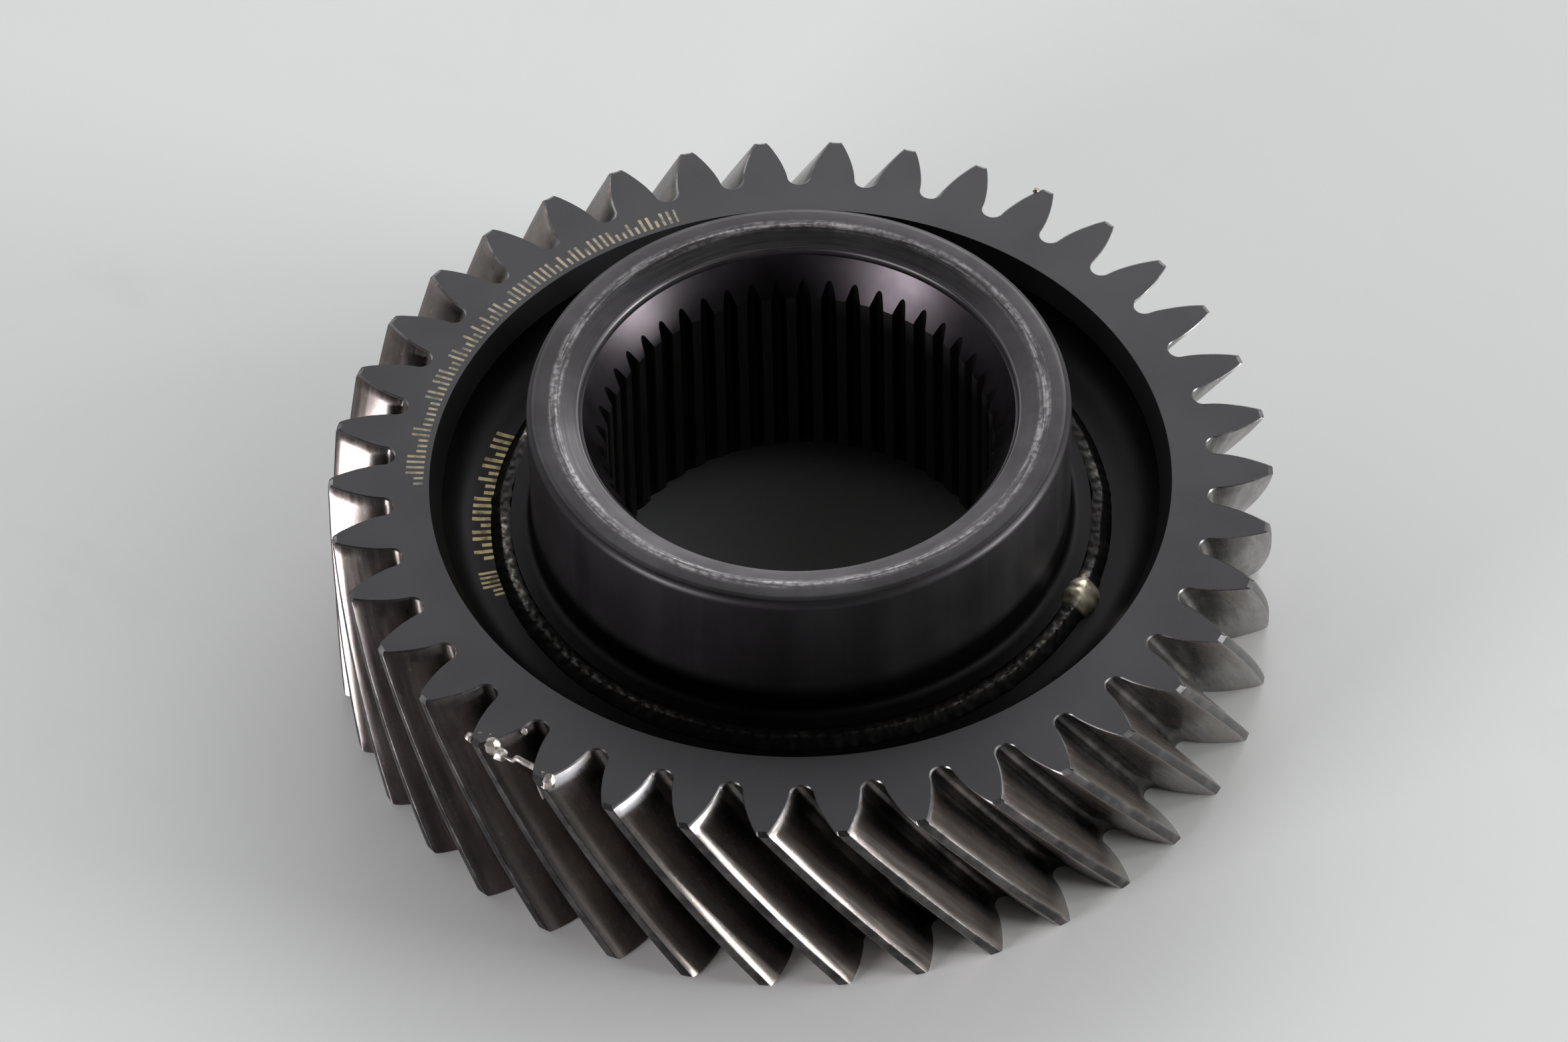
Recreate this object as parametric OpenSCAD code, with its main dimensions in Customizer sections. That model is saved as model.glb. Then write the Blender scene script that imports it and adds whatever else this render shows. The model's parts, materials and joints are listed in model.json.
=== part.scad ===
// Helical gear wheel welded to a splined hub, as used on a gearbox shaft.
// Frame: origin on the gear axis, in the plane of the lower tooth faces. +Z runs up the
// axis, out through the hub neck. Millimetres and degrees.

/* [Teeth] */
// Number of teeth
teeth = 38; // [37:1:44]
// Module in the normal plane
normal_module = 2.5; // [2.45:0.05:2.7]
// Pressure angle in the normal plane
normal_pressure_angle = 17.5; // [16.5:0.5:20]
// Helix angle at the pitch circle, left hand
helix_angle = 32.5; // [30:0.5:36]
// Addendum, as a multiple of the normal module
addendum = 1.47; // [1.2:0.01:1.5]
// Dedendum, as a multiple of the normal module
dedendum = 1.78; // [1.6:0.01:1.8]
// Tooth thickness given up to backlash, on the transverse pitch circle
backlash = 0.16; // [0:0.01:0.3]
// Length of the teeth along the axis
face_width = 29.4; // [26:0.1:32]
// Chamfer at the two ends of the tooth tips
end_chamfer = 0.6; // [0.3:0.1:1]

/* [Wheel] */
// Radial thickness of the rim under the tooth roots, at its faces
rim_wall = 4.7; // [4:0.1:6]
// Depth of the recess in each face, down to the web
recess_depth = 7.7; // [6:0.1:9]
// Radial width of the chamfer at the mouth of each recess
mouth_chamfer_w = 1.5; // [1:0.1:2]
// Depth of the chamfer at the mouth of each recess
mouth_chamfer_h = 2.7; // [2:0.1:3.5]
// Radial width of the curved blend from the mouth chamfer to the web
web_blend = 4.2; // [3:0.1:5]

/* [Hub] */
// Diameter of the neck
neck_d = 68.7; // [67.4:0.1:69.4]
// Height of the neck's end above the upper tooth faces
neck_rise = 14; // [10:0.5:18]
// Radius of the neck's outer top edge
neck_edge_r = 1.3; // [0.5:0.1:1.5]
// Radius of the fillet between the neck and the flange
neck_fillet_r = 1.2; // [0.5:0.1:1.5]
// Diameter of the joint between the hub flange and the web
joint_d = 76.6; // [76:0.1:78]
// Height of the flange above the web
flange_step = 1.4; // [0.8:0.1:2]
// Radius where the flat end land gives way to the shallow inner land
land_r = 31.2; // [30.5:0.1:32]
// Inner radius of the shallow land
lip_r = 27.6; // [27.3:0.1:28]
// Depth of the shallow land at its inner edge
lip_drop = 1.0; // [0.5:0.1:1.2]
// Chamfer at the inner edge of the shallow land
lip_chamfer = 0.6; // [0.3:0.1:0.6]
// Width of the small step under the lip
lip_step = 0.3; // [0.2:0.05:0.4]

/* [Spline] */
// Number of spline teeth in the bore
spline_teeth = 48; // [44:1:49]
// Spline module
spline_module = 1.02; // [0.95:0.01:1.03]
// Angle of the first spline groove
spline_phase = 6.1; // [0:0.1:7.5]
// Half angle of the lead-in cone above the spline
lead_in_angle = 29; // [20:1:40]
// Width of a spline groove at the tips of the spline teeth
groove_w = 1.95; // [1.85:0.05:2.1]
// Pressure angle of the spline
spline_pressure_angle = 30; // [25:1:31]
// Chamfer at the lower end of the spline
bore_chamfer = 1.5; // [1:0.1:2.5]

/* [Weld] */
// Width of the weld bead at its surface
weld_w = 2.6; // [1.8:0.1:3.2]
// Depth of the weld below the web's surface
weld_depth = 5; // [3:0.5:7]
// Height of the weld crown above the flange
weld_crown = 0.35; // [0.2:0.05:0.6]

/* [Hidden] */
$fn = 180;
steel_black = [0.17, 0.17, 0.18];
steel_dark = [0.27, 0.27, 0.28];
weld_grey = [0.45, 0.44, 0.42];

// How far a cutter runs past the surface that it cuts
overcut = 1;
// How far two joined parts of one outline overlap
overlap = 0.01;

// Tooth form
pitch_r = teeth * normal_module / (2 * cos(helix_angle));
pressure_angle = atan(tan(normal_pressure_angle) / cos(helix_angle));
base_r = pitch_r * cos(pressure_angle);
tip_r = pitch_r + addendum * normal_module;
root_r = pitch_r - dedendum * normal_module;
tooth_pitch = 360 / teeth;
twist_per_mm = tan(helix_angle) / pitch_r * 180 / PI;
pitch_half_angle = tooth_pitch / 4 - backlash / (4 * pitch_r) * 180 / PI;

// Heights
face_z = face_width;
web_low_z = recess_depth;
web_top_z = face_width - recess_depth;
flange_z = web_top_z + flange_step;
hub_top_z = face_width + neck_rise;
weld_root_z = web_top_z - weld_depth;

// Radii
mouth_r = root_r - rim_wall;
wall_r = mouth_r - mouth_chamfer_w;
joint_r = joint_d / 2;
neck_r = neck_d / 2;

// Spline
spline_tip_r = spline_teeth * spline_module / 2;
spline_straight_r = spline_tip_r + spline_module;
spline_root_r = spline_straight_r + 0.2 * spline_module;
spline_pitch = 360 / spline_teeth;
cone_top_r = lip_r - lip_step;
cone_top_z = hub_top_z - lip_drop - lip_chamfer - lip_step;

function involute(a) = tan(a) * 180 / PI - a;
function tooth_half_angle(r) =
    pitch_half_angle + involute(pressure_angle) - involute(acos(min(1, base_r / r)));

// Radii of the points up one flank, from just above the root fillet to the tip
flank_r = [for (t = [0.2, 0.5, 0.8, 1]) root_r + t * (tip_r - root_r)];
// One point on the root fillet: its height above the root, and its angle from the space's middle
fillet_rise = 0.25;
fillet_turn = 0.75;
fillet_r = root_r + fillet_rise;
fillet_half_angle = tooth_pitch / 2 - fillet_turn;

// Heights of the layers of points up the teeth
body_layers = 5;
layer_h = (face_width - 2 * end_chamfer) / body_layers;
layer_z = concat([0], [for (i = [0:body_layers]) end_chamfer + i * layer_h], [face_width]);

// One tooth and half a space each side, as [radius, angle] pairs
function tooth_outline() = concat(
    [[root_r, -tooth_pitch / 2], [fillet_r, -fillet_half_angle]],
    [for (r = flank_r) [r, -tooth_half_angle(r)]],
    [for (i = [len(flank_r) - 1:-1:0]) [flank_r[i], tooth_half_angle(flank_r[i])]],
    [[fillet_r, fillet_half_angle]]);

// A recess wall from its mouth to the web, as [radius, depth] pairs
function recess_wall() = concat(
    [[mouth_r, 0]],
    [for (t = [0:30:90]) [wall_r - web_blend * (1 - cos(t)),
        mouth_chamfer_h + (recess_depth - mouth_chamfer_h) * sin(t)]]);

// The surfaces inside the rim, from the upper mouth to the lower one, as [radius, height] pairs
function inner_outline() = concat(
    [for (p = recess_wall()) [p[0], face_z - p[1]]],
    [[joint_r + weld_w / 2, web_top_z], [joint_r, weld_root_z], [joint_r, web_low_z]],
    [for (i = [len(recess_wall()) - 1:-1:0]) recess_wall()[i]]);

function tip_limit(z) = tip_r - max(0, end_chamfer - z, end_chamfer - face_width + z);
function tooth_turn(z) = (face_width - z) * twist_per_mm;
function ring_point(r, a, z) = [r * cos(a), r * sin(a), z];

// Rim, web and teeth are one closed skin: layers of tooth outlines outside, rings of points
// inside, two to a tooth, and an end face at each tooth that joins the two
module gear_wheel() {
    tooth = tooth_outline();
    inside = inner_outline();
    count = len(tooth);
    ring = teeth * count;
    inner_ring = 2 * teeth;
    inner_fit = 1 / cos(180 / inner_ring);
    last_layer = (len(layer_z) - 1) * ring;
    inner_base = len(layer_z) * ring;
    inner_last = inner_base + (len(inside) - 1) * inner_ring;
    shift = round(2 * tooth_turn(0) / tooth_pitch);

    outer_points = [for (z = layer_z, k = [0:teeth - 1], p = tooth)
        ring_point(min(p[0], tip_limit(z)), k * tooth_pitch + p[1] + tooth_turn(z), z)];
    inner_points = [for (p = inside, i = [0:inner_ring - 1])
        ring_point(p[0] * inner_fit, (i - 1) * tooth_pitch / 2, p[1])];

    flanks = [for (j = [0:len(layer_z) - 2], i = [0:ring - 1], half = [0, 1])
        let (n = (i + 1) % ring, low = j * ring, high = low + ring)
        half == 0 ? [low + i, high + i, low + n] : [low + n, high + i, high + n]];
    inner_skin = [for (j = [0:len(inside) - 2], i = [0:inner_ring - 1], half = [0, 1])
        let (n = (i + 1) % inner_ring, high = inner_base + j * inner_ring, low = high + inner_ring)
        half == 0 ? [high + i, low + i, high + n] : [high + n, low + i, low + n]];
    upper_face = [for (k = [0:teeth - 1])
        let (n = (k + 1) % teeth)
        concat([last_layer + n * count],
            [for (i = [count - 1:-1:0]) last_layer + k * count + i],
            [for (i = [0:2]) inner_base + (2 * k + i) % inner_ring])];
    lower_face = [for (k = [0:teeth - 1])
        let (n = (k + 1) % teeth)
        concat([for (i = [0:count - 1]) k * count + i], [n * count],
            [for (i = [2:-1:0]) inner_last + (2 * k + shift + i) % inner_ring])];

    color(steel_black)
        polyhedron(
            points = concat(outer_points, inner_points),
            faces = concat(flanks, inner_skin, upper_face, lower_face));
}

// The bore through the spline teeth, and one groove with a rounded root between each pair
module spline_cutter() {
    tip_half = groove_w / 2;
    root_half = tip_half - tan(spline_pressure_angle) * spline_module;
    translate([0, 0, web_low_z - overcut])
        linear_extrude(hub_top_z - web_low_z + 2 * overcut) {
            circle(r = spline_tip_r);
            for (i = [0:spline_teeth - 1])
                rotate(spline_phase + i * spline_pitch)
                    polygon([
                        [spline_tip_r - overcut, -tip_half], [spline_tip_r, -tip_half],
                        [spline_straight_r, -root_half], [spline_root_r, -root_half / 2],
                        [spline_root_r, root_half / 2], [spline_straight_r, root_half],
                        [spline_tip_r, tip_half], [spline_tip_r - overcut, tip_half]]);
        }
}

// Half of the hub's section, from just inside the spline teeth outwards
module hub_section() {
    inner_r = spline_tip_r - 2 * overcut;
    difference() {
        union() {
            polygon([
                [inner_r, web_low_z], [joint_r, web_low_z], [joint_r, weld_root_z],
                [joint_r - weld_w / 2, flange_z], [inner_r, flange_z]]);
            translate([inner_r, flange_z - overcut])
                square([neck_r - inner_r, hub_top_z - flange_z + overcut - neck_edge_r]);
            translate([inner_r, flange_z])
                square([neck_r - neck_edge_r - inner_r, hub_top_z - flange_z]);
            translate([neck_r - neck_edge_r, hub_top_z - neck_edge_r])
                circle(r = neck_edge_r);
            translate([neck_r - overlap, flange_z - overlap])
                square(neck_fillet_r + overlap);
        }
        translate([neck_r + neck_fillet_r, flange_z + neck_fillet_r])
            circle(r = neck_fillet_r);
    }
}

// What is turned away above the spline, from the end land to the cone, and below it
module lead_in() {
    end_r = spline_tip_r - overcut;
    cone_end_z = cone_top_z - (cone_top_r - end_r) / tan(lead_in_angle);
    chamfer_r = spline_tip_r + bore_chamfer;
    chamfer_z = web_low_z + bore_chamfer + overcut;
    rotate_extrude()
        polygon([
            [0, hub_top_z + overcut], [land_r, hub_top_z + overcut], [land_r, hub_top_z],
            [lip_r + lip_chamfer, hub_top_z - lip_drop], [lip_r, hub_top_z - lip_drop - lip_chamfer],
            [lip_r, cone_top_z], [cone_top_r, cone_top_z],
            [end_r, cone_end_z], [0, cone_end_z]]);
    rotate_extrude()
        polygon([
            [0, web_low_z - overcut], [chamfer_r + overcut, web_low_z - overcut],
            [chamfer_r, web_low_z], [end_r, chamfer_z], [0, chamfer_z]]);
}

module splined_hub() {
    color(steel_dark)
        difference() {
            rotate_extrude()
                hub_section();
            spline_cutter();
            lead_in();
        }
}

// A wedge of weld metal between web and flange, crowned between the two surfaces it joins
module weld_seam() {
    half_w = weld_w / 2;
    crown_half_w = weld_w / 6;
    crown_z = flange_z + weld_crown;
    color(weld_grey)
        rotate_extrude()
            polygon([
                [joint_r, weld_root_z], [joint_r + half_w, web_top_z],
                [joint_r + half_w - crown_half_w / 2, (web_top_z + flange_z) / 2],
                [joint_r + crown_half_w, crown_z], [joint_r - crown_half_w, crown_z],
                [joint_r - half_w, flange_z]]);
}

gear_wheel();
splined_hub();
weld_seam();
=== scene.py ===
"""Looks of a helical gear wheel welded to a splined hub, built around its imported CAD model.

Metres. The frame is the CAD model's: +Z runs up the gear's axis, through the hub neck.
"""

import json
import math

import bpy
from mathutils import Matrix, Vector, noise


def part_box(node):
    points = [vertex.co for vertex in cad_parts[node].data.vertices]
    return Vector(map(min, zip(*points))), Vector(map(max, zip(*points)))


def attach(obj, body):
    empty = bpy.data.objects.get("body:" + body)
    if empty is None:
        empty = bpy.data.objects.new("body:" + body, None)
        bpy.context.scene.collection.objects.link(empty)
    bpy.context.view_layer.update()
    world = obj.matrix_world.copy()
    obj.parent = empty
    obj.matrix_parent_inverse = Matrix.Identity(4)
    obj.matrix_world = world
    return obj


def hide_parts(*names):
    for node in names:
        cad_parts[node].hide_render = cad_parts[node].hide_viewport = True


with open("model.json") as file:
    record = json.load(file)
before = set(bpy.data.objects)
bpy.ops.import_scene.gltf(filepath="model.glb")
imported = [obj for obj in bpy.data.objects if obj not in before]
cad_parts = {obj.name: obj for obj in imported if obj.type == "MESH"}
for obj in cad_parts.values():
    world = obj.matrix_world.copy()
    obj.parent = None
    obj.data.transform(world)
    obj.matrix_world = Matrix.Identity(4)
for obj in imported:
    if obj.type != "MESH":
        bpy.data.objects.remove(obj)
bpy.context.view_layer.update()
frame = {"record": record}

MM = 0.001
TAU = 2 * math.pi

# Sizes from the frame
wheel_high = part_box("gear_wheel")[1]
hub_low, hub_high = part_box("splined_hub")
seam_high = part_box("weld_seam")[1]
mount_dims = {mount["name"]: mount["dims"] for mount in frame["record"]["mounts"]}
PITCH_R = mount_dims["tooth_mesh"]["r_mm"] * MM
NECK_R = mount_dims["hub_neck"]["r_mm"] * MM
SPLINE_TIP_R = mount_dims["spline_bore"]["r_mm"] * MM
TIP_R = wheel_high.x
FACE_Z = wheel_high.z
HUB_LOW_Z = hub_low.z
HUB_TOP_Z = hub_high.z
SEAM_TOP_Z = seam_high.z
JOINT_R = hub_high.x

# Teeth: the pressure angle is in the plane of rotation, and the twist in radians per metre
TEETH = 38
TOOTH_PITCH = TAU / TEETH
HELIX = math.radians(32.5)
PRESSURE = math.radians(20.5)
BASE_R = PITCH_R * math.cos(PRESSURE)
TOOTH_DEPTH = 8.13 * MM
ROOT_R = TIP_R - TOOTH_DEPTH
BACKLASH = 0.16 * MM
TWIST = math.tan(HELIX) / PITCH_R

# Recess, with a chamfered mouth, and web: the hub's lower end is level with the web's lower side
MOUTH_R = ROOT_R - 4.7 * MM
MOUTH_CHAMFER_W = 1.5 * MM
MOUTH_CHAMFER_H = 2.7 * MM
WALL_R = MOUTH_R - MOUTH_CHAMFER_W
WEB_BLEND = 4.2 * MM
RECESS_DEPTH = HUB_LOW_Z
WEB_TOP_Z = FACE_Z - RECESS_DEPTH

# Hub: flange, end face, lead-in cone and chamfer at the lower end
FLANGE_Z = WEB_TOP_Z + 1.4 * MM
LAND_R = 31.2 * MM
LIP_R = 27.6 * MM
LIP_DROP = 1.0 * MM
LIP_CHAMFER = 0.6 * MM
LIP_STEP = 0.3 * MM
CONE_ANGLE = math.radians(29)
CONE_TOP_R = LIP_R - LIP_STEP
CONE_TOP_Z = HUB_TOP_Z - LIP_DROP - LIP_CHAMFER - LIP_STEP
LOWER_CHAMFER = 1.5 * MM

# Spline
SPLINE_TEETH = 48
SPLINE_PITCH = TAU / SPLINE_TEETH
SPLINE_MODULE = 2 * SPLINE_TIP_R / SPLINE_TEETH
SPLINE_PHASE = math.radians(6.1)
GROOVE_W = 1.95 * MM
GROOVE_FLOOR_W = 0.84 * MM
SPLINE_ROOT_R = SPLINE_TIP_R + 1.2 * SPLINE_MODULE

# Weld: the seam's middle and half its width, the foot of the joint, and the raised closure
SEAM_R = JOINT_R + 0.05 * MM
SEAM_HALF = 1.3 * MM
JOINT_FOOT_Z = WEB_TOP_Z - 5 * MM
CLOSURE_ANGLE = 337
CLOSURE_SPREAD = 2.3 * MM

# Rows of plain ticks: inner and outer radius, first and last angle and pitch in degrees, and the
# stroke's share of the pitch
FACE_TICKS = (47.9 * MM, 50.2 * MM, 109.0, 181.0, 1.1, 0.42)
RECESS_TICKS = (39.5 * MM, 42.0 * MM, 158.0, 190.0, 1.6, 0.5)
RECESS_FINE_TICKS = (39.5 * MM, 42.0 * MM, 192.0, 199.0, 1.1, 0.5)

# Lumps of smeared steel: angle in degrees, radius, size, and depth below the upper face
BURRS = [
    (226.2, TIP_R - 0.75 * MM, 0.62 * MM, 0.65 * MM),
    (227.0, TIP_R - 1.6 * MM, 0.60 * MM, 0.6 * MM),
    (228.9, TIP_R - 1.6 * MM, 1.10 * MM, 0.75 * MM),
    (230.7, TIP_R - 1.3 * MM, 0.90 * MM, 0.75 * MM),
    (228.0, TIP_R - 2.2 * MM, 0.60 * MM, 0.6 * MM),
    (238.1, TIP_R - 0.95 * MM, 0.95 * MM, 0.7 * MM),
    (237.0, TIP_R - 1.2 * MM, 0.60 * MM, 0.6 * MM),
    (231.0, TIP_R - 5.5 * MM, 0.42 * MM, 0.15 * MM),
    (58.3, TIP_R - 0.9 * MM, 0.55 * MM, 0.35 * MM),
]


def smooth(low, high, value):
    """0 below low, 1 above high, and a smooth rise between."""
    t = min(1, max(0, (value - low) / (high - low)))
    return t * t * (3 - 2 * t)


def add_mesh(name, points, faces, materials, indices, sharp_angle):
    """A mesh object with smooth faces, and hard edges where it turns more than sharp_angle."""
    mesh = bpy.data.meshes.new(name)
    mesh.from_pydata(points, [], faces)
    for material in materials:
        mesh.materials.append(material)
    mesh.polygons.foreach_set("material_index", indices)
    mesh.shade_smooth()
    mesh.set_sharp_from_angle(angle=math.radians(sharp_angle))
    mesh.update()
    piece = bpy.data.objects.new(name, mesh)
    bpy.context.scene.collection.objects.link(piece)
    return piece


def ring_grid(rows, row_materials):
    """Faces and material numbers of a closed grid: rows of equal rings, the last joined to the first."""
    count = len(rows[0])
    faces = []
    indices = []
    for j in range(len(rows)):
        low = j * count
        high = (j + 1) % len(rows) * count
        for i in range(count):
            n = (i + 1) % count
            faces.append((low + i, low + n, high + n, high + i))
            indices.append(row_materials(j, i))
    return faces, indices


def polar(r, angle, z):
    """The point at a radius, an angle in radians and a height."""
    return (r * math.cos(angle), r * math.sin(angle), z)


# ---------------------------------------------------------------- materials

def add_node(tree, kind, inputs=(), **settings):
    """A new node, with its settings and its inputs: numbers, colours or other nodes' outputs."""
    made = tree.nodes.new(kind)
    for name, value in settings.items():
        setattr(made, name, value)
    for name, value in dict(inputs).items():
        if isinstance(value, bpy.types.NodeSocket):
            tree.links.new(value, made.inputs[name])
        else:
            made.inputs[name].default_value = value
    return made


def math_node(tree, operation, *values):
    """The result of a Math node on numbers or other nodes' outputs."""
    made = tree.nodes.new("ShaderNodeMath")
    made.operation = operation
    for i, value in enumerate(values):
        if isinstance(value, bpy.types.NodeSocket):
            tree.links.new(value, made.inputs[i])
        else:
            made.inputs[i].default_value = value
    return made.outputs[0]


def mix_colour(tree, factor, a, b):
    """Colour a where the factor is 0, and colour b where it is 1."""
    made = tree.nodes.new("ShaderNodeMix")
    made.data_type = "RGBA"
    for socket, value in ((made.inputs[0], factor), (made.inputs[6], a), (made.inputs[7], b)):
        if isinstance(value, bpy.types.NodeSocket):
            tree.links.new(value, socket)
        elif isinstance(value, tuple):
            socket.default_value = (*value, 1)
        else:
            socket.default_value = value
    return made.outputs[2]


def ramp(tree, value, low, high, out_low=0.0, out_high=1.0):
    """A smooth change from out_low to out_high as the value goes from low to high."""
    made = add_node(tree, "ShaderNodeMapRange", interpolation_type="SMOOTHSTEP")
    tree.links.new(value, made.inputs["Value"])
    made.inputs["From Min"].default_value = low
    made.inputs["From Max"].default_value = high
    made.inputs["To Min"].default_value = out_low
    made.inputs["To Max"].default_value = out_high
    return made.outputs["Result"]


def band(tree, value, low, high, soft):
    """1 between low and high, 0 outside, with soft ends."""
    return math_node(tree, "MULTIPLY",
                     ramp(tree, value, low - soft, low + soft),
                     ramp(tree, value, high + soft, high - soft))


def cylinder_coordinates(tree):
    """Radius, angle in degrees from 0 to 360, and height of the shaded point, in metres."""
    place = add_node(tree, "ShaderNodeTexCoord").outputs["Object"]
    parts = add_node(tree, "ShaderNodeSeparateXYZ", {"Vector": place}).outputs
    radius = math_node(tree, "SQRT", math_node(
        tree, "ADD",
        math_node(tree, "MULTIPLY", parts[0], parts[0]),
        math_node(tree, "MULTIPLY", parts[1], parts[1])))
    angle = math_node(tree, "ARCTAN2", parts[1], parts[0])
    degrees = math_node(tree, "MODULO", math_node(
        tree, "ADD", math_node(tree, "MULTIPLY", angle, 360 / TAU), 360.0), 360.0)
    return place, radius, degrees, parts[2]


def noise_value(tree, vector, scale, detail=3.0, roughness=0.55, distortion=0.0):
    return add_node(tree, "ShaderNodeTexNoise", {
        "Vector": vector, "Scale": scale, "Detail": detail,
        "Roughness": roughness, "Distortion": distortion}).outputs["Fac"]


def stretched(tree, x, y, z):
    """Texture coordinates from three values of their own."""
    return add_node(tree, "ShaderNodeCombineXYZ", {"X": x, "Y": y, "Z": z}).outputs[0]


def new_material(name, metallic=1.0):
    """A material with its node tree and its shader."""
    material = bpy.data.materials.new(name)
    material.use_nodes = True
    tree = material.node_tree
    shader = tree.nodes["Principled BSDF"]
    shader.inputs["Metallic"].default_value = metallic
    return material, tree, shader


def add_bump(tree, shader, height, strength, distance):
    """Fine relief on a shader, from a value used as height."""
    made = add_node(tree, "ShaderNodeBump", {
        "Height": height, "Strength": strength, "Distance": distance})
    tree.links.new(made.outputs[0], shader.inputs["Normal"])


def ticks(tree, radius, degrees, low_r, high_r, start, end, pitch, fill):
    """Short plain radial strokes, in groups, between two radii and two angles."""
    place = math_node(tree, "DIVIDE", degrees, pitch)
    stroke = math_node(tree, "LESS_THAN", math_node(tree, "FRACT", place), fill)
    step = math_node(tree, "FLOOR", place)
    pick = add_node(tree, "ShaderNodeTexWhiteNoise", {"W": step}, noise_dimensions="1D").outputs[0]
    cut_off = 0.45
    shorter = math_node(tree, "MULTIPLY", math_node(tree, "GREATER_THAN", pick, 0.5), cut_off)
    top_r = math_node(tree, "SUBTRACT", high_r, math_node(tree, "MULTIPLY", shorter, high_r - low_r))
    inside = math_node(tree, "MULTIPLY",
                       math_node(tree, "GREATER_THAN", radius, low_r),
                       math_node(tree, "LESS_THAN", radius, top_r))
    along = math_node(tree, "MULTIPLY",
                      math_node(tree, "GREATER_THAN", degrees, start),
                      math_node(tree, "LESS_THAN", degrees, end))
    return math_node(tree, "MULTIPLY", stroke, math_node(tree, "MULTIPLY", inside, along))


def face_metal():
    """Ground and blackened end faces of the rim, with a row of etched ticks on the upper one."""
    material, tree, shader = new_material("blackened_face")
    place, radius, degrees, height = cylinder_coordinates(tree)
    cloud = noise_value(tree, place, 90.0, 4.0)
    grain = noise_value(tree, place, 2600.0, 2.0)
    base = mix_colour(tree, cloud, (0.068, 0.067, 0.070), (0.082, 0.081, 0.084))
    upper = math_node(tree, "GREATER_THAN", height, WEB_TOP_Z)
    row = ticks(tree, radius, degrees, *FACE_TICKS)
    fade = ramp(tree, noise_value(tree, place, 900.0), 0.30, 0.62, 0.25, 0.9)
    marks = math_node(tree, "MULTIPLY", math_node(tree, "MULTIPLY", upper, row), fade)
    etched = (0.42, 0.37, 0.27)
    tree.links.new(mix_colour(tree, marks, base, etched), shader.inputs["Base Color"])
    tree.links.new(ramp(tree, cloud, 0.3, 0.7, 0.27, 0.32), shader.inputs["Roughness"])
    turned = noise_value(tree, stretched(tree, radius, 0.0, 0.0), 9000.0, 2.0)
    add_bump(tree, shader, math_node(tree, "ADD", turned, grain), 0.05, 0.02 * MM)
    return material


def recess_metal():
    """Turned recess: darker than the ground faces, partly from its blackened finish and partly from painted
    shade, with etched ticks on its floor.
    """
    material, tree, shader = new_material("blackened_recess_painted_shade")
    place, radius, degrees, height = cylinder_coordinates(tree)
    cloud = noise_value(tree, place, 70.0, 4.0)
    # Painted shade: the dark base is partly the recess's blackened finish and partly the shade inside the
    # recess.
    base = mix_colour(tree, cloud, (0.015, 0.0145, 0.0155), (0.024, 0.023, 0.0245))
    upper = math_node(tree, "GREATER_THAN", height, WEB_TOP_Z - 1 * MM)
    row = math_node(tree, "MAXIMUM",
                    ticks(tree, radius, degrees, *RECESS_TICKS),
                    ticks(tree, radius, degrees, *RECESS_FINE_TICKS))
    marks = math_node(tree, "MULTIPLY", math_node(tree, "MULTIPLY", upper, row),
                      ramp(tree, noise_value(tree, place, 900.0), 0.30, 0.60, 0.3, 1.0))
    etched = (0.34, 0.28, 0.15)
    tree.links.new(mix_colour(tree, marks, base, etched), shader.inputs["Base Color"])
    tree.links.new(ramp(tree, cloud, 0.3, 0.7, 0.42, 0.52), shader.inputs["Roughness"])
    turned = noise_value(tree, stretched(tree, radius, height, 0.0), 6000.0, 2.0)
    add_bump(tree, shader, turned, 0.10, 0.02 * MM)
    return material


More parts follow.
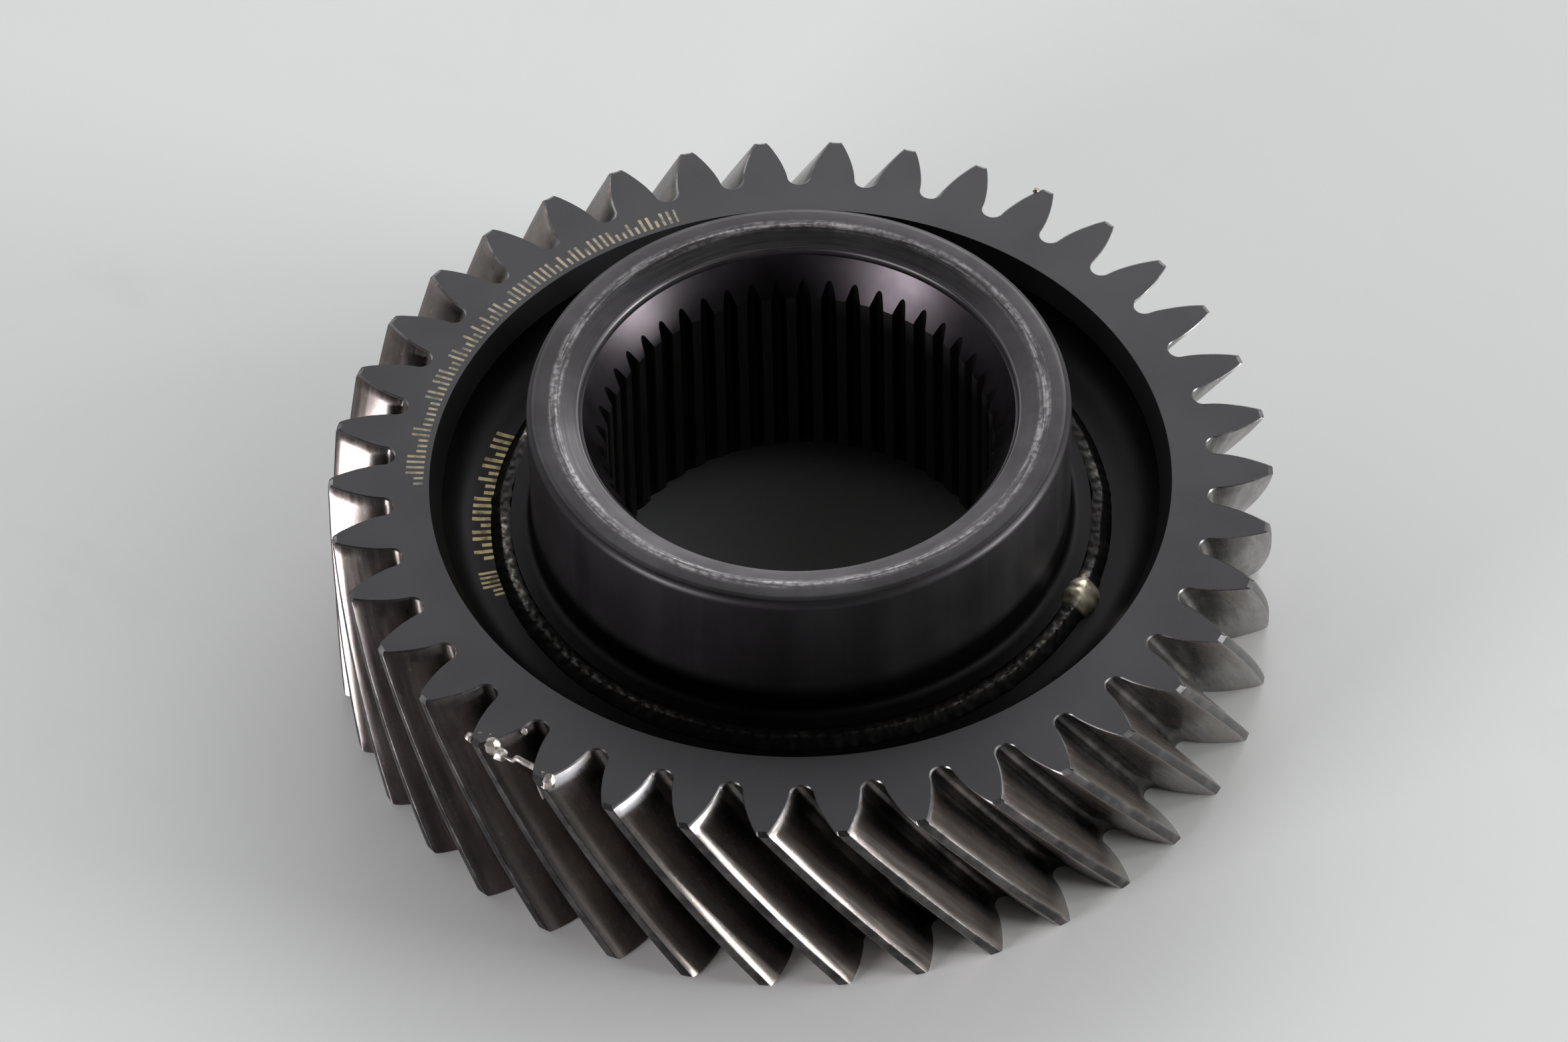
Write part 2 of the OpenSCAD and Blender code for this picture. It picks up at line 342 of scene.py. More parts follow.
def flank_metal():
    """Tooth flanks and roots: dark brown-grey steel with streaks, with painted shade towards the roots,
    painted light over one sector of the wheel, and a painted highlight along the top edges of another."""
    material, tree, shader = new_material("tooth_flank", 0.9)
    place, radius, degrees, height = cylinder_coordinates(tree)
    unrolled = math_node(tree, "ADD", math_node(tree, "MULTIPLY", degrees, TAU / 360 * PITCH_R),
                         math_node(tree, "MULTIPLY", height, math.tan(HELIX)))
    narrowing = 10.0
    along = stretched(tree, math_node(tree, "MULTIPLY", unrolled, narrowing),
                      math_node(tree, "MULTIPLY", radius, narrowing), height)
    streak = noise_value(tree, along, 90.0, 4.0, 0.6)
    cloud = noise_value(tree, place, 140.0, 5.0, 0.6)
    speck = ramp(tree, noise_value(tree, place, 1700.0, 3.0, 0.7), 0.60, 0.74)
    # Painted shade: the flank colour darkens from the tips down to the roots, where the teeth shade each
    # other.
    brighter_share = ramp(tree, radius, ROOT_R + 1.5 * MM, TIP_R - 2.2 * MM)
    dark = mix_colour(tree, brighter_share, (0.020, 0.018, 0.018), (0.135, 0.120, 0.112))
    base = mix_colour(tree, ramp(tree, cloud, 0.35, 0.75), dark, (0.20, 0.178, 0.165))
    # Both sectors are placed to suit the photograph's lighting; they aren't known wear
    # Painted light: the lighter sector stands in for light falling on the flanks of those teeth.
    lighter = math_node(tree, "MULTIPLY", brighter_share, band(tree, degrees, 285.0, 350.0, 25.0))
    base = mix_colour(tree, math_node(tree, "MULTIPLY", lighter, 0.7), base, (0.30, 0.268, 0.248))
    speckled = math_node(tree, "MULTIPLY", math_node(tree, "MULTIPLY", speck, brighter_share), 0.6)
    lit = mix_colour(tree, speckled, base, (0.40, 0.36, 0.32))
    # Painted highlight: a bright band along the top edges of the flanks in this sector.
    edge = math_node(tree, "MULTIPLY", ramp(tree, height, FACE_Z - 1.7 * MM, FACE_Z - 1.1 * MM),
                     band(tree, degrees, 237.0, 257.5, 1.5))
    outer = ramp(tree, radius, ROOT_R + 1.0 * MM, ROOT_R + 5.0 * MM)
    edge = math_node(tree, "MULTIPLY", edge, outer)
    bright = (0.78, 0.76, 0.79)
    tree.links.new(mix_colour(tree, edge, lit, bright), shader.inputs["Base Color"])
    tree.links.new(ramp(tree, streak, 0.3, 0.7, 0.20, 0.31), shader.inputs["Roughness"])
    add_bump(tree, shader, math_node(tree, "ADD", streak, speck), 0.10, 0.03 * MM)
    return material


def tip_metal():
    """Ground tip lands, brighter than the flanks."""
    material, tree, shader = new_material("tooth_tip")
    place, _, _, height = cylinder_coordinates(tree)
    cloud = noise_value(tree, place, 220.0, 5.0, 0.65)
    lines = noise_value(tree, stretched(tree, height, 0.0, 0.0), 6000.0, 2.0)
    base = mix_colour(tree, ramp(tree, cloud, 0.38, 0.68), (0.048, 0.045, 0.045), (0.135, 0.127, 0.123))
    tree.links.new(base, shader.inputs["Base Color"])
    tree.links.new(ramp(tree, cloud, 0.3, 0.7, 0.26, 0.40), shader.inputs["Roughness"])
    add_bump(tree, shader, lines, 0.08, 0.02 * MM)
    return material


def edge_metal():
    """Chamfered tooth ends: bright where worn, blackened elsewhere."""
    material, tree, shader = new_material("tooth_end_edge")
    place, _, _, _ = cylinder_coordinates(tree)
    cloud = noise_value(tree, place, 320.0, 4.0, 0.6)
    brighter_share = ramp(tree, cloud, 0.40, 0.66)
    tree.links.new(mix_colour(tree, brighter_share, (0.085, 0.082, 0.084), (0.24, 0.232, 0.235)),
                   shader.inputs["Base Color"])
    tree.links.new(ramp(tree, cloud, 0.3, 0.7, 0.40, 0.26), shader.inputs["Roughness"])
    add_bump(tree, shader, cloud, 0.2, 0.04 * MM)
    return material


def bare_metal():
    """Lumps and threads of smeared steel at the bruised tooth corners: bright and rough."""
    material, tree, shader = new_material("bruised_steel", 0.7)
    place, _, _, _ = cylinder_coordinates(tree)
    cloud = noise_value(tree, place, 1300.0, 4.0, 0.7)
    tree.links.new(mix_colour(tree, cloud, (0.20, 0.175, 0.155), (0.52, 0.48, 0.45)),
                   shader.inputs["Base Color"])
    shader.inputs["Roughness"].default_value = 0.42
    add_bump(tree, shader, cloud, 0.5, 0.1 * MM)
    return material


def hub_metal():
    """Turned and blackened hub, with painted shade on its outer wall, deepest at its foot, and a worn ring
    on its end face.
    """
    material, tree, shader = new_material("hub_turned", 0.85)
    place, radius, degrees, height = cylinder_coordinates(tree)
    cloud = noise_value(tree, place, 75.0, 5.0, 0.6)
    spread = ramp(tree, cloud, 0.30, 0.72)
    turn = math_node(tree, "MULTIPLY", degrees, TAU / 360)
    across, up = math_node(tree, "COSINE", turn), math_node(tree, "SINE", turn)
    around = stretched(tree, across, up, math_node(tree, "MULTIPLY", radius, 900.0))
    scratches = noise_value(tree, around, 3.2, 5.0, 0.68)
    patches = noise_value(tree, stretched(tree, across, up, 0.0), 2.3, 5.0, 0.72)
    on_end = math_node(tree, "GREATER_THAN", height, HUB_TOP_Z - 1.1 * MM)
    wobble = math_node(tree, "MULTIPLY", math_node(tree, "SUBTRACT", patches, 0.5), 1.2 * MM)
    ring = band(tree, math_node(tree, "ADD", radius, wobble), LAND_R - 0.9 * MM, LAND_R + 0.3 * MM,
                0.40 * MM)
    wear = math_node(tree, "MULTIPLY", math_node(tree, "MULTIPLY", ring, on_end),
                     ramp(tree, scratches, 0.40, 0.62, 0.05, 1.0))
    pits = ramp(tree, noise_value(tree, place, 1400.0, 3.0), 0.36, 0.58, 0.25, 1.0)
    wear = math_node(tree, "MULTIPLY", wear, pits)
    lip = math_node(tree, "MULTIPLY",
                    band(tree, radius, LIP_R - 0.05 * MM, LIP_R + 0.35 * MM, 0.12 * MM), on_end)
    shine = math_node(tree, "MAXIMUM", wear, math_node(tree, "MULTIPLY", lip, 0.35))
    wall = math_node(tree, "LESS_THAN", height, HUB_TOP_Z - 1.3 * MM)
    below_end = math_node(tree, "LESS_THAN", height, HUB_TOP_Z - 0.15 * MM)
    outside = math_node(tree, "MULTIPLY", below_end,
                        math_node(tree, "GREATER_THAN", radius, LAND_R + 0.3 * MM))
    base = mix_colour(tree, spread, (0.050, 0.047, 0.049), (0.088, 0.084, 0.088))
    # Painted shade: the neck's outer wall is darkened, and darker still down towards the flange.
    low = math_node(tree, "MULTIPLY", wall, ramp(tree, height, FLANGE_Z + 9 * MM, FLANGE_Z + 0.5 * MM))
    base = mix_colour(tree, math_node(tree, "MULTIPLY", outside, 0.75), base, (0.010, 0.009, 0.010))
    base = mix_colour(tree, low, base, (0.010, 0.0095, 0.010))
    worn_steel = (0.34, 0.325, 0.33)
    tree.links.new(mix_colour(tree, shine, base, worn_steel), shader.inputs["Base Color"])
    rough = math_node(tree, "ADD", ramp(tree, scratches, 0.3, 0.7, 0.33, 0.46),
                      math_node(tree, "MULTIPLY", outside, 0.08))
    tree.links.new(rough, shader.inputs["Roughness"])
    turned = noise_value(tree, stretched(tree, radius, height, 0.0), 7000.0, 2.0)
    add_bump(tree, shader, turned, 0.10, 0.02 * MM)
    return material


def cone_metal():
    """Smooth lead-in cone above the spline."""
    material, tree, shader = new_material("lead_in_cone")
    place, _, _, height = cylinder_coordinates(tree)
    cloud = noise_value(tree, place, 130.0, 4.0)
    tree.links.new(mix_colour(tree, cloud, (0.032, 0.028, 0.031), (0.044, 0.039, 0.043)),
                   shader.inputs["Base Color"])
    tree.links.new(ramp(tree, cloud, 0.3, 0.7, 0.34, 0.42), shader.inputs["Roughness"])
    turned = noise_value(tree, stretched(tree, height, 0.0, 0.0), 5000.0, 2.0)
    add_bump(tree, shader, turned, 0.1, 0.02 * MM)
    return material


def spline_metal():
    """Broached spline: dark grooves, lighter lands with marks along the axis."""
    material, tree, shader = new_material("spline_bore")
    _, radius, degrees, height = cylinder_coordinates(tree)
    along = stretched(tree, degrees, 0.0, math_node(tree, "MULTIPLY", height, 40.0))
    streak = noise_value(tree, along, 6.0, 3.0)
    land = ramp(tree, radius, SPLINE_TIP_R + 0.30 * MM, SPLINE_TIP_R + 0.02 * MM)
    base = mix_colour(tree, land, (0.036, 0.033, 0.033), (0.115, 0.107, 0.103))
    tree.links.new(mix_colour(tree, math_node(tree, "MULTIPLY", streak, 0.35), base, (0.02, 0.02, 0.02)),
                   shader.inputs["Base Color"])
    tree.links.new(ramp(tree, streak, 0.3, 0.7, 0.36, 0.52), shader.inputs["Roughness"])
    add_bump(tree, shader, streak, 0.12, 0.03 * MM)
    return material


def weld_metal():
    """Weld bead: oxidised like the recess, with bright stretches of crest and one bright closure, each
    partly bare weld metal and partly painted highlight.
    """
    material, tree, shader = new_material("weld_bead")
    place, _, degrees, height = cylinder_coordinates(tree)
    cloud = noise_value(tree, place, 700.0, 5.0, 0.7)
    patches = noise_value(tree, place, 45.0, 2.0)
    # Partly painted highlight: the top of the crest is lightened in stretches, along with bare weld metal.
    crest = ramp(tree, height, SEAM_TOP_Z - 0.42 * MM, SEAM_TOP_Z - 0.16 * MM)
    flecks = math_node(tree, "MULTIPLY", ramp(tree, cloud, 0.40, 0.62), crest)
    line = math_node(tree, "MULTIPLY", flecks, ramp(tree, patches, 0.47, 0.60))
    # Partly painted highlight: the closure's pale colour is bare weld metal with a highlight painted on it.
    reach = 3.4
    closure = band(tree, degrees, CLOSURE_ANGLE - reach, CLOSURE_ANGLE + reach, 0.5)
    closure = math_node(tree, "MULTIPLY", closure, ramp(tree, cloud, 0.20, 0.50, 0.45, 1.0))
    base = mix_colour(tree, line, (0.034, 0.032, 0.031), (0.30, 0.27, 0.235))
    tree.links.new(mix_colour(tree, closure, base, (0.66, 0.60, 0.46)), shader.inputs["Base Color"])
    tree.links.new(ramp(tree, line, 0.0, 1.0, 0.50, 0.36), shader.inputs["Roughness"])
    add_bump(tree, shader, cloud, 0.30, 0.06 * MM)
    return material


def floor_paint():
    """Pale paint with faint smudges."""
    material, tree, shader = new_material("pale_floor", 0.0)
    place = add_node(tree, "ShaderNodeTexCoord").outputs["Object"]
    cloud = noise_value(tree, place, 9.0, 4.0)
    clean = mix_colour(tree, cloud, (0.76, 0.775, 0.765), (0.81, 0.815, 0.81))
    smudge = ramp(tree, noise_value(tree, place, 26.0, 6.0, 0.62, 0.6), 0.56, 0.78, 0.0, 0.22)
    tree.links.new(mix_colour(tree, smudge, clean, (0.62, 0.625, 0.615)), shader.inputs["Base Color"])
    shader.inputs["Roughness"].default_value = 0.30
    return material


# ---------------------------------------------------------------- gear wheel

def involute(angle):
    return math.tan(angle) - angle


HALF_AT_PITCH = TOOTH_PITCH / 4 - BACKLASH / (4 * PITCH_R)


def half_angle(r):
    """Half the angle that a tooth takes up at radius r."""
    return HALF_AT_PITCH + involute(PRESSURE) - involute(math.acos(min(1, BASE_R / r)))


def tooth_outline():
    """Points round one tooth and half a space each side, as [radius, angle], anticlockwise."""
    fillet_rise = 1.45 * MM
    start_r = ROOT_R + fillet_rise
    root_flat = math.radians(0.04)
    gap = TOOTH_PITCH / 2
    side = []
    fillet_steps = 6
    for i in range(fillet_steps):
        turn = math.pi / 2 * i / fillet_steps
        reach = gap - root_flat - half_angle(start_r)
        side.append((ROOT_R + (start_r - ROOT_R) * (1 - math.cos(turn)),
                     gap - root_flat - reach * math.sin(turn)))
    corner = 0.16 * MM
    flank_steps = 8
    for i in range(flank_steps + 1):
        r = start_r + (TIP_R - corner - start_r) * i / flank_steps
        side.append((r, half_angle(r)))
    side.append((TIP_R - 0.05 * MM, half_angle(TIP_R) - 0.04 * MM / TIP_R))
    side.append((TIP_R, half_angle(TIP_R) - 0.16 * MM / TIP_R))
    left = [(r, -a) for r, a in side]
    land = [(TIP_R, 0.0)]
    return [(ROOT_R, -gap)] + left + land + side[::-1]


def outline_normals(outline):
    """Outward directions of an outline that repeats once per tooth pitch, as (radial, sideways)."""
    count = len(outline)
    normals = []
    for i, (r, _) in enumerate(outline):
        before_r, before_a = outline[i - 1]
        after_r, after_a = outline[(i + 1) % count]
        if i == 0:
            before_a -= TOOTH_PITCH
        if i == count - 1:
            after_a += TOOTH_PITCH
        along = Vector((after_r - before_r, (after_a - before_a) * r))
        along.normalize()
        normals.append((along.y, -along.x))
    return normals


def end_chamfers(outline, normals):
    """Where each point of the outline ends up at a tooth end, as (radius, angle), and how deep
    below the end the chamfer starts: a small break all round, and a larger one on the tip."""
    plain = 0.16 * MM
    tip_drop = 0.62 * MM
    tip_depth = 0.45 * MM
    ends = []
    depths = []
    for i, (r, a) in enumerate(outline):
        tip = smooth(TIP_R - 0.25 * MM, TIP_R, r)
        radial = normals[i][0] * plain * (1 - tip) + tip_drop * tip
        ends.append((r - radial, a - normals[i][1] * plain / r))
        depths.append(plain + (tip_depth - plain) * tip)
    return ends, depths


def recess_wall():
    """A recess wall from its mouth to the web, as (radius, depth)."""
    points = [(MOUTH_R, 0), (MOUTH_R - 0.12 * MM, 0.1 * MM)]
    points.append((WALL_R + 0.05 * MM, MOUTH_CHAMFER_H - 0.05 * MM))
    steps = 10
    for i in range(steps + 1):
        turn = math.pi / 2 * i / steps
        points.append((WALL_R - WEB_BLEND * (1 - math.cos(turn)),
                       MOUTH_CHAMFER_H + (RECESS_DEPTH - MOUTH_CHAMFER_H) * math.sin(turn)))
    return points


def build_gear_wheel():
    """The wheel as one closed shell: from the lower face up the teeth, over the upper face and back
    down through the recess. The lumps of smeared steel are closed shells of their own."""
    outline = tooth_outline()
    normals = outline_normals(outline)
    end, depth = end_chamfers(outline, normals)
    body_rows = 24
    count = len(outline)
    face_ring_r = ROOT_R - 1.2 * MM

    def outer_row(shape, height_of):
        return [polar(r, k * TOOTH_PITCH + a + (FACE_Z - height_of(i)) * TWIST, height_of(i))
                for k in range(TEETH) for i, (r, a) in enumerate(shape)]

    def body_height(share):
        return lambda i: depth[i] + share * (FACE_Z - 2 * depth[i])

    rows = [outer_row(end, lambda i: 0.0)]
    rows += [outer_row(outline, body_height(j / body_rows)) for j in range(body_rows + 1)]
    rows.append(outer_row(end, lambda i: FACE_Z))
    kinds = ["edge"] + ["side"] * body_rows + ["edge", "face"]

    top_angles = [math.atan2(y, x) for x, y, z in rows[-1]]
    low_angles = [math.atan2(y, x) for x, y, z in rows[0]]

    def ring(r, z, angles):
        return [polar(r, a, z) for a in angles]

    wall = recess_wall()
    rows.append(ring(face_ring_r, FACE_Z, top_angles))
    rows += [ring(r, FACE_Z - deep, top_angles) for r, deep in wall]
    rows.append(ring(JOINT_R + SEAM_HALF, WEB_TOP_Z, top_angles))
    rows.append(ring(JOINT_R, JOINT_FOOT_Z, top_angles))
    rows.append(ring(JOINT_R, RECESS_DEPTH, low_angles))
    rows += [ring(r, deep, low_angles) for r, deep in reversed(wall)]
    rows.append(ring(face_ring_r, 0.0, low_angles))
    kinds += ["face"] + ["recess"] * (2 * len(wall) + 2) + ["face", "face"]

    names = ["face", "side", "tip", "edge", "recess", "bare"]
    land = count // 2
    land_reach = 2

    def material_number(j, i):
        kind = kinds[j]
        if kind == "side" and abs(i % count - land) <= land_reach:
            kind = "tip"
        return names.index(kind)

    faces, indices = ring_grid(rows, material_number)
    points = [p for row in rows for p in row]
    for lump_points, lump_faces in burrs():
        start = len(points)
        points += lump_points
        faces += [tuple(start + v for v in face) for face in lump_faces]
        indices += [names.index("bare")] * len(lump_faces)
    materials = [face_metal(), flank_metal(), tip_metal(), edge_metal(), recess_metal(), bare_metal()]
    return add_mesh("gear_wheel_visual", points, faces, materials, indices, sharp_angle=28)


def lump(centre, size, seed):
    """A closed, crumpled lump of smeared steel."""
    around = 12
    rings = 7
    crumple = 0.45
    points = [centre - Vector((0, 0, size))]
    for j in range(1, rings):
        rise = math.pi * (j / rings - 0.5)
        for i in range(around):
            turn = TAU * i / around
            way = Vector((math.cos(turn) * math.cos(rise), math.sin(turn) * math.cos(rise), math.sin(rise)))
            rough = 1 + crumple * noise.noise(way * 1.4 + Vector((seed, 0, 0)))
            points.append(centre + way * size * rough)
    points.append(centre + Vector((0, 0, size)))
    faces = [(0, 1 + (i + 1) % around, 1 + i) for i in range(around)]
    for j in range(rings - 2):
        for i in range(around):
            n = (i + 1) % around
            low = 1 + j * around
            faces.append((low + i, low + n, low + around + n, low + around + i))
    last = len(points) - 1
    faces += [(last, last - around + i, last - around + (i + 1) % around) for i in range(around)]
    return [tuple(p) for p in points], faces


def strand(path, radius):
    """A closed thin burr of steel along a path, tapered at both ends."""
    around = 8
    points = []
    for j, centre in enumerate(path):
        ahead = path[min(j + 1, len(path) - 1)] - path[max(j - 1, 0)]
        side = ahead.cross(Vector((0, 0, 1))).normalized()
        rise = side.cross(ahead).normalized()
        share = math.sin(math.pi * (j + 0.6) / (len(path) + 0.2)) ** 0.6
        for i in range(around):
            turn = TAU * i / around
            points.append(tuple(centre + radius * share * (math.cos(turn) * side + math.sin(turn) * rise)))
    faces = [tuple(reversed(range(around)))]
    for j in range(len(path) - 1):
        for i in range(around):
            n = (i + 1) % around
            faces.append((j * around + i, j * around + n, (j + 1) * around + n, (j + 1) * around + i))
    faces.append(tuple(range((len(path) - 1) * around, len(path) * around)))
    return points, faces


def burrs():
    """Lumps of smeared steel at the bruised tooth corners, a strand between them and a whisker."""
    seed_step = 3.7
    made = []
    for i, (angle, r, size, drop) in enumerate(BURRS):
        centre = Vector(polar(r, math.radians(angle), FACE_Z - drop))
        made.append(lump(centre, size, seed_step * i))
    start, span = 231.2, 7.4
    steps = 26
    path = []
    for i in range(steps + 1):
        t = i / steps
        wave = Vector((noise.noise(Vector((5 * t, 0, 0))), noise.noise(Vector((5 * t, 9, 0))),
                       noise.noise(Vector((5 * t, 0, 9)))))
        sag = 0.9 * MM * math.sin(math.pi * t)
        angle = math.radians(start + span * t)
        centre = Vector(polar(TIP_R - 1.0 * MM - sag, angle, FACE_Z - 0.6 * MM))
        path.append(centre + 0.6 * MM * wave)
    made.append(strand(path, radius=0.42 * MM))
    start, span = 236.6, 0.9
    whisker = [Vector(polar(TIP_R - 0.5 * MM, math.radians(start + span * t),
                            FACE_Z - (0.6 + 3.2 * t) * MM))
               for t in (0, 0.25, 0.5, 0.75, 1)]
    made.append(strand(whisker, radius=0.24 * MM))
    return made


# ---------------------------------------------------------------- hub

def spline_outline():
    """Points round one groove of the spline and half a land each side, as [radius, angle]."""
    tip_half = GROOVE_W / 2 / SPLINE_TIP_R
    root_half = GROOVE_FLOOR_W / 2 / SPLINE_ROOT_R
    half_pitch = SPLINE_PITCH / 2
    side = [(SPLINE_TIP_R, (tip_half + half_pitch) / 2), (SPLINE_TIP_R, tip_half)]
    steps = 4
    for i in range(1, steps):
        t = i / steps
        side.append((SPLINE_TIP_R + SPLINE_MODULE * t, tip_half + (root_half - tip_half) * t))
    side.append((SPLINE_TIP_R + SPLINE_MODULE, root_half))
    side.append((SPLINE_TIP_R + 1.14 * SPLINE_MODULE, root_half * 0.55))
    side.append((SPLINE_ROOT_R, root_half * 0.15))
    left = [(r, -a) for r, a in side]
    return [(SPLINE_TIP_R, -half_pitch)] + left + side[::-1]


def arc(centre_r, centre_z, radius, start, end, steps):
    """Points along a round in the (radius, height) plane, angles in degrees."""
    return [(centre_r + radius * math.cos(math.radians(start + (end - start) * i / steps)),
             centre_z + radius * math.sin(math.radians(start + (end - start) * i / steps)))
            for i in range(steps + 1)]


def hub_profile():
    """The hub's outside from its lower face up to the top of the lead-in cone."""
    edge_r = 1.3 * MM
    fillet_r = 1.2 * MM
    land_edge_r = 1.6 * MM
    soft = 0.25 * MM
    points = [(JOINT_R, HUB_LOW_Z), (JOINT_R, JOINT_FOOT_Z), (JOINT_R - SEAM_HALF, FLANGE_Z)]
    points += arc(NECK_R + fillet_r, FLANGE_Z + fillet_r, fillet_r, 270, 180, 6)
    points.append((NECK_R, (FLANGE_Z + HUB_TOP_Z) / 2))
    points += arc(NECK_R - edge_r, HUB_TOP_Z - edge_r, edge_r, 0, 90, 7)
    points += arc(LAND_R - 0.2 * MM, HUB_TOP_Z - land_edge_r, land_edge_r, 90, 108, 4)
    points.append((LIP_R + LIP_CHAMFER + soft, HUB_TOP_Z - LIP_DROP + 0.06 * MM))
    points += arc(LIP_R + LIP_CHAMFER, HUB_TOP_Z - LIP_DROP - LIP_CHAMFER, LIP_CHAMFER, 90, 180, 5)
    points += [(LIP_R, CONE_TOP_Z), (CONE_TOP_R, CONE_TOP_Z)]
    return points


def build_hub():
    """The hub as one closed mesh: up its outside, over the end face, and down the cone and the
    spline to the lower face."""
    outline = spline_outline()
    columns = [(r, SPLINE_PHASE + k * TAU / SPLINE_TEETH + a)
               for k in range(SPLINE_TEETH) for r, a in outline]
    profile = hub_profile()
    foot_rows = 8
    rows = [[polar(r, a, z) for _, a in columns] for r, z in profile]
    kinds = ["recess"] * foot_rows + ["hub"] * (len(profile) - foot_rows - 1) + ["cone"]
    cone_rows = 5
    for j in range(1, cone_rows + 1):
        row = []
        for r, a in columns:
            radius = CONE_TOP_R + (r - CONE_TOP_R) * j / cone_rows
            row.append(polar(radius, a, CONE_TOP_Z - (CONE_TOP_R - radius) / math.tan(CONE_ANGLE)))
        rows.append(row)
        kinds.append("cone")
    kinds[-1] = "spline"
    low_r = SPLINE_TIP_R + LOWER_CHAMFER
    rows.append([polar(r, a, HUB_LOW_Z + low_r - r) for r, a in columns])
    kinds.append("cone")
    rows.append([polar(low_r, a, HUB_LOW_Z) for r, a in columns])
    kinds.append("recess")
    names = ["hub", "cone", "spline", "recess"]
    faces, indices = ring_grid(rows, lambda j, i: names.index(kinds[j]))
    points = [p for row in rows for p in row]
    materials = [hub_metal(), cone_metal(), spline_metal(), bpy.data.materials["blackened_recess_painted_shade"]]
    return add_mesh("splined_hub_visual", points, faces, materials, indices, sharp_angle=26)


# ---------------------------------------------------------------- weld

def closure_share(angle):
    """1 at the middle of the weld's closure, falling smoothly to 0 beyond its ends."""
    along = math.radians((angle - CLOSURE_ANGLE + 180) % 360 - 180) * SEAM_R
    return math.exp(-((along / CLOSURE_SPREAD) ** 2) ** 1.5)


def build_weld():
    """The bead as one closed ring: a rippled crown, and the foot of the joint below it."""
    columns = 1080
    across_steps = 12
    ripples_per_turn = 126
    ripple_lag = 5400
    ripple_height = 0.05 * MM
    crown_height = 0.22 * MM
    closure_height = 0.9 * MM
    sink = 0.12 * MM
    rows = []
    for j in range(across_steps + 1):
        row = []
        for i in range(columns):
            angle = 360 * i / columns
            turn = math.radians(angle)
            closure = closure_share(angle)
            wander = 0.25 * MM * noise.noise(Vector((math.cos(turn), math.sin(turn), 0)) * 6)
            uneven = 1 + 0.2 * noise.noise(Vector((angle / 2.2, 3, 0)))
            half = SEAM_HALF * (1 + 0.75 * closure) * uneven
            across = (2 * j / across_steps - 1) * half
            shape = 1 - (across / half) ** 2
            base_z = FLANGE_Z if across < 0 else FLANGE_Z - (FLANGE_Z - WEB_TOP_Z) * across / half
            phase = ripples_per_turn * angle + ripple_lag * (across / half) ** 2
            ripple = ripple_height * math.sin(math.radians(phase))
            rough = 0.12 * MM * noise.noise(Vector((angle * 0.9, across / MM * 1.4, 7)))
            crown = shape * (crown_height + ripple + rough)
            crown += closure_height * closure * shape ** 0.6
            row.append(polar(SEAM_R + wander + across, turn, base_z - sink + crown))
        rows.append(row)
    rows.append([polar(JOINT_R, TAU * i / columns, JOINT_FOOT_Z) for i in range(columns)])
    faces, indices = ring_grid(rows, lambda j, i: 0)
    faces = [tuple(reversed(face)) for face in faces]
    points = [p for row in rows for p in row]
    return add_mesh("weld_seam_visual", points, faces, [weld_metal()], indices, sharp_angle=60)


# ---------------------------------------------------------------- stage

def add_floor():
    """A plain floor, a hair below the gear's lower face."""
    size = 3.0
    clearance = 0.02 * MM
    mesh = bpy.data.meshes.new("floor")
    mesh.from_pydata([(-size, -size, 0), (size, -size, 0), (size, size, 0), (-size, size, 0)],
                     [], [(0, 1, 2, 3)])
    mesh.materials.append(floor_paint())
    floor = bpy.data.objects.new("floor", mesh)
    bpy.context.scene.collection.objects.link(floor)
    floor.location.z = -clearance


def add_light(name, azimuth, elevation, distance, size, power, colour=(1, 1, 1)):
    """A soft rectangular light, aimed at the gear. Azimuth is anticlockwise from +X, in degrees."""
    turn = math.radians(azimuth)
    rise = math.radians(elevation)
    target = Vector((0, 0, FACE_Z))
    place = target + distance * Vector((
        math.cos(turn) * math.cos(rise), math.sin(turn) * math.cos(rise), math.sin(rise)))
    data = bpy.data.lights.new(name, "AREA")
    data.shape = "RECTANGLE"
    data.size, data.size_y = size
    data.energy = power
    data.color = colour
    light = bpy.data.objects.new(name, data)
    light.location = place
    light.rotation_euler = (target - place).to_track_quat("-Z", "Y").to_euler()
    bpy.context.scene.collection.objects.link(light)


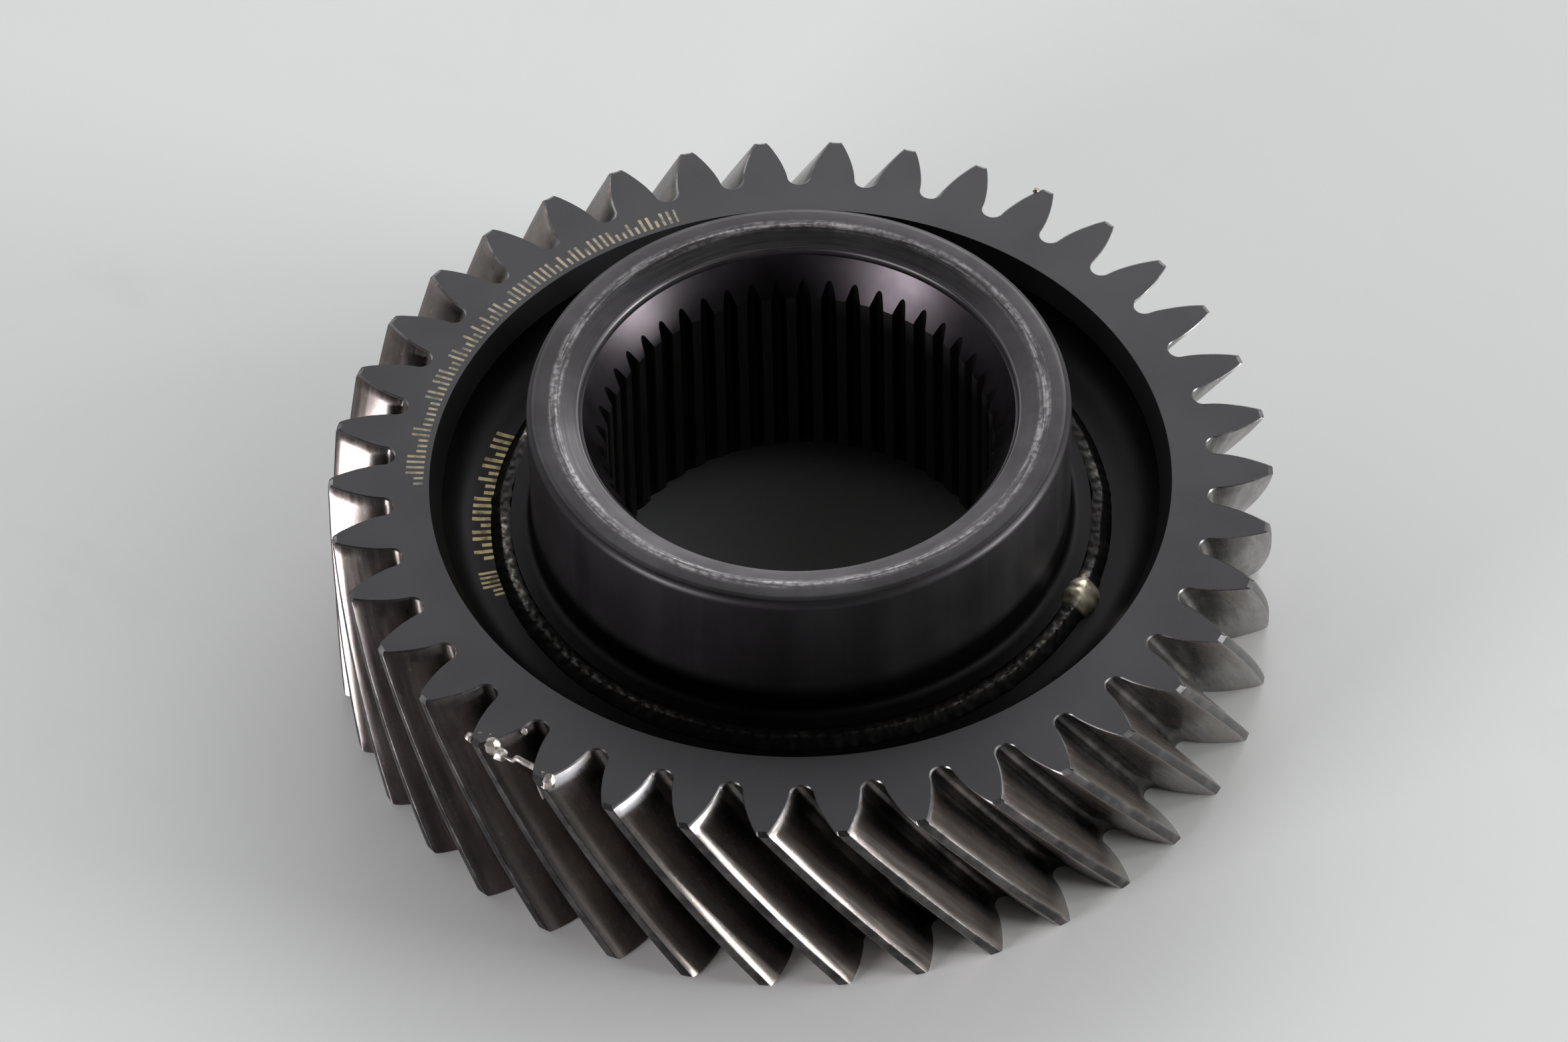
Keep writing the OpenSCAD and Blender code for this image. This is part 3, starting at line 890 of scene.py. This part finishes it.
def add_world(bright, overhead, dark):
    """A studio with bright walls behind and beside the gear, a dim ceiling and a dark front."""
    world = bpy.data.worlds.new("studio")
    world.use_nodes = True
    bpy.context.scene.world = world
    tree = world.node_tree
    direction = add_node(tree, "ShaderNodeTexCoord").outputs["Generated"]
    rise = add_node(tree, "ShaderNodeSeparateXYZ", {"Vector": direction}).outputs[2]
    to_walls = (0.35, 0.93, 0.0)
    facing = add_node(tree, "ShaderNodeVectorMath", {0: direction, 1: to_walls},
                      operation="DOT_PRODUCT").outputs["Value"]
    walls = math_node(tree, "MULTIPLY", ramp(tree, rise, 0.92, 0.58), ramp(tree, facing, -0.72, 0.30))
    ceiling = ramp(tree, rise, 0.55, 0.90)
    sky = mix_colour(tree, walls, mix_colour(tree, ceiling, dark, overhead), bright)
    tree.links.new(sky, tree.nodes["Background"].inputs["Color"])


def add_camera():
    """A long lens at the photograph's viewing angle."""
    elevation = math.radians(47.70)
    azimuth = math.radians(0.92)
    roll = math.radians(-1.381)
    reach = 1146.1 * MM
    aim = Vector((-2.08 * MM, -7.73 * MM, FACE_Z))
    forward = Vector((-math.sin(azimuth) * math.cos(elevation),
                      math.cos(azimuth) * math.cos(elevation), -math.sin(elevation)))
    level = forward.cross(Vector((0, 0, 1))).normalized()
    up = level.cross(forward)
    right = level * math.cos(roll) + up * math.sin(roll)
    up = right.cross(forward)
    data = bpy.data.cameras.new("camera")
    data.sensor_width = 36
    data.lens = 208.2
    data.clip_end = 20
    camera = bpy.data.objects.new("camera", data)
    turn = Matrix((right, up, -forward)).transposed().to_4x4()
    camera.matrix_world = Matrix.Translation(aim - forward * reach) @ turn
    bpy.context.scene.collection.objects.link(camera)
    bpy.context.scene.camera = camera


wheel = build_gear_wheel()
hub = build_hub()
weld = build_weld()
for piece, node, slot in (
        (wheel, "gear_wheel", "blackened_steel"),
        (hub, "splined_hub", "hub_steel"),
        (weld, "weld_seam", "weld_metal")):
    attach(piece, "root")
    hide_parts(node)

add_floor()
add_world(bright=(1.30, 1.31, 1.32), overhead=(0.04, 0.04, 0.04), dark=(0.015, 0.015, 0.015))
add_light("back_softbox", azimuth=75, elevation=28, distance=2.4, size=(1.8, 0.8), power=12)
add_light("right_window", azimuth=-10, elevation=5, distance=1.5, size=(0.52, 0.17), power=27)
add_light("right_lamp", azimuth=8, elevation=20, distance=1.5, size=(0.30, 0.24), power=3)
add_light("left_front_window", azimuth=220, elevation=8, distance=1.4, size=(0.62, 0.20), power=19,
          colour=(1.0, 0.96, 1.0))
add_camera()
bpy.context.scene.view_settings.view_transform = "Standard"
